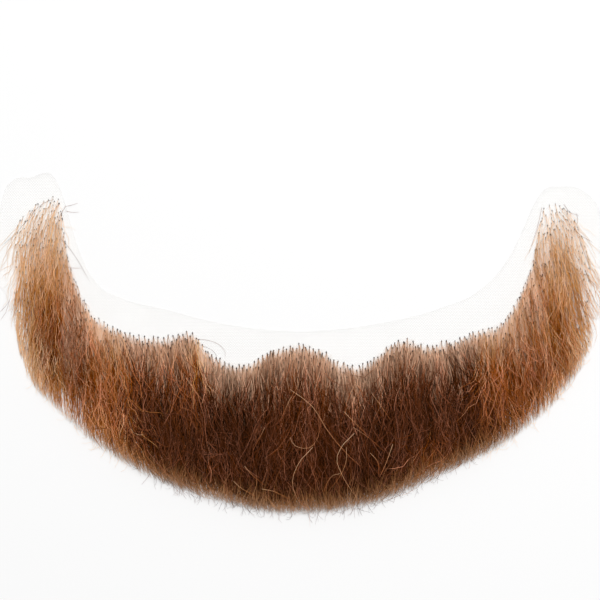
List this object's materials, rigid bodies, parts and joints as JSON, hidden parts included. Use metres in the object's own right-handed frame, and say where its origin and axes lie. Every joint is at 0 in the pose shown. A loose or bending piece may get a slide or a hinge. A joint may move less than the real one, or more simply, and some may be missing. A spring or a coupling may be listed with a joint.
{
  "type": "false beard on a lace base",
  "caption": "Crescent-shaped full false beard of straight auburn and dark brown hair, knotted on a thin lace net and laid flat, hair side up.",
  "frame": {"origin": "under the middle of the beard, in the plane that the net's skin side lies in", "axes": "+X from one sideburn to the other, +Y from the chin tips to the sideburn tops, +Z out of the hair side"},
  "size_m": [0.264, 0.146, 0.0163],
  "materials": {
    "lace": "fine open hexagonal net of pale thread, nearly invisible against a light ground",
    "pale_hair": "straw to auburn hair, straight, with a soft sheen",
    "auburn_hair": "auburn hair, straight, with a soft sheen",
    "dark_hair": "dark brown hair, straight, lighter and redder at its tips, with a soft sheen"
  },
  "bodies": {
    "root": {"lace_base": "lace", "sideburn_hair_left": "pale_hair", "cheek_hair_left": "auburn_hair", "chin_hair": "dark_hair", "cheek_hair_right": "auburn_hair", "sideburn_hair_right": "pale_hair"}
  },
  "joints": []
}
